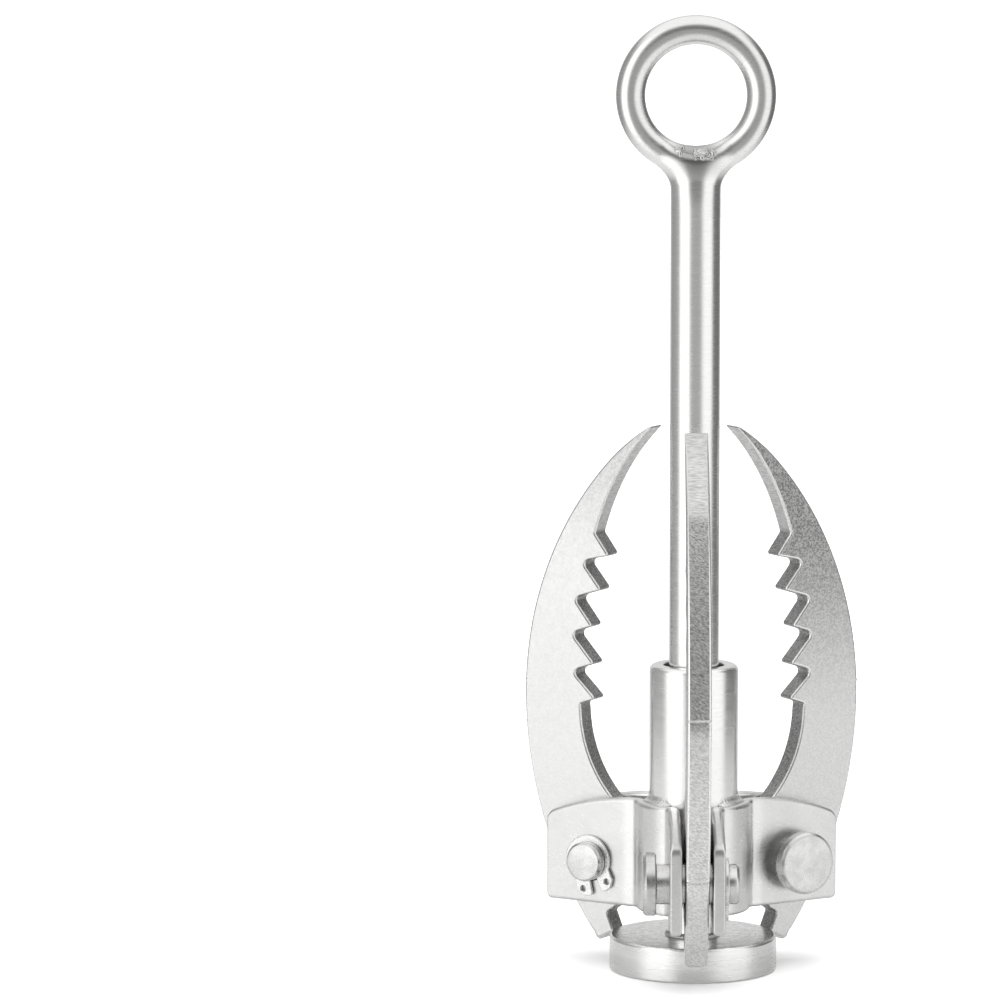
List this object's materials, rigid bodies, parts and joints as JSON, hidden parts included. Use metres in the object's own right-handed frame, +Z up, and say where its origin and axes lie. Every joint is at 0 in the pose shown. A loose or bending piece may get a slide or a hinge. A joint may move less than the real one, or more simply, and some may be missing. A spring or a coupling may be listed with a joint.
{
  "type": "grapnel anchor",
  "caption": "Sliding-sleeve grapnel anchor: toothed claws pinned in a bent-plate bracket, hooked shut over a round foot, with a rope eye at the top of the rod.",
  "frame": {"origin": "middle of the foot's flat underside, on the rod's axis", "axes": "+Z up along the rod to the eye; the eye's ring lies in the X-Z plane; one claw points along -Y"},
  "size_m": [0.1016, 0.0903, 0.2879],
  "materials": {
    "polished_steel": "polished stainless steel, fine draw lines",
    "turned_steel": "turned and brushed stainless steel, scuffed",
    "satin_steel": "satin stainless steel plate with softened edges",
    "claw_steel": "satin stainless steel plate with rough cut edges",
    "pin_steel": "turned stainless steel with fine scratches",
    "circlip_steel": "stamped stainless spring steel",
    "weld_steel": "dressed weld metal"
  },
  "bodies": {
    "shaft": {"base_disc": "turned_steel", "base_weld": "weld_steel", "shaft_rod": "polished_steel", "eye_weld": "weld_steel", "eye_ring": "polished_steel"},
    "sleeve": {"sleeve_tube": "polished_steel", "bracket_plate_front_right": "satin_steel", "bracket_plate_rear": "satin_steel", "bracket_plate_front_left": "satin_steel", "bracket_weld_front_right": "weld_steel", "bracket_weld_rear": "weld_steel", "bracket_weld_front_left": "weld_steel"},
    "claw_front": {"claw_front": "claw_steel"},
    "claw_right": {"claw_right": "claw_steel"},
    "claw_left": {"claw_left": "claw_steel"},
    "pin_front": {"clevis_pin_front": "pin_steel", "circlip_front": "circlip_steel"},
    "pin_right": {"clevis_pin_right": "pin_steel", "circlip_right": "circlip_steel"},
    "pin_left": {"clevis_pin_left": "pin_steel", "circlip_left": "circlip_steel"}
  },
  "joints": [
    {"name": "sleeve_slide", "type": "slide", "parent": "shaft", "child": "sleeve", "axis": [0, 0, 1], "range_m": [0, 0.146]},
    {"name": "claw_front_hinge", "type": "hinge", "parent": "sleeve", "child": "claw_front", "pos_m": [0, -0.0312, 0.0315], "axis": [1, 0, 0], "range_deg": [0, 60]},
    {"name": "claw_right_hinge", "type": "hinge", "parent": "sleeve", "child": "claw_right", "pos_m": [0.02702, 0.0156, 0.0315], "axis": [-0.5, 0.866, 0], "range_deg": [0, 60]},
    {"name": "claw_left_hinge", "type": "hinge", "parent": "sleeve", "child": "claw_left", "pos_m": [-0.02702, 0.0156, 0.0315], "axis": [-0.5, -0.866, 0], "range_deg": [0, 60]},
    {"name": "pin_front_float", "type": "slide", "parent": "sleeve", "child": "pin_front", "axis": [1, 0, 0], "range_m": [0, 0.0036]},
    {"name": "pin_right_float", "type": "slide", "parent": "sleeve", "child": "pin_right", "axis": [-0.5, 0.866, 0], "range_m": [0, 0.0036]},
    {"name": "pin_left_float", "type": "slide", "parent": "sleeve", "child": "pin_left", "axis": [-0.5, -0.866, 0], "range_m": [0, 0.0036]}
  ],
  "couplings": [
    {"joint": "claw_front_hinge", "follows": "sleeve_slide", "rad_per_m": 7.17},
    {"joint": "claw_right_hinge", "follows": "sleeve_slide", "rad_per_m": 7.17},
    {"joint": "claw_left_hinge", "follows": "sleeve_slide", "rad_per_m": 7.17}
  ]
}
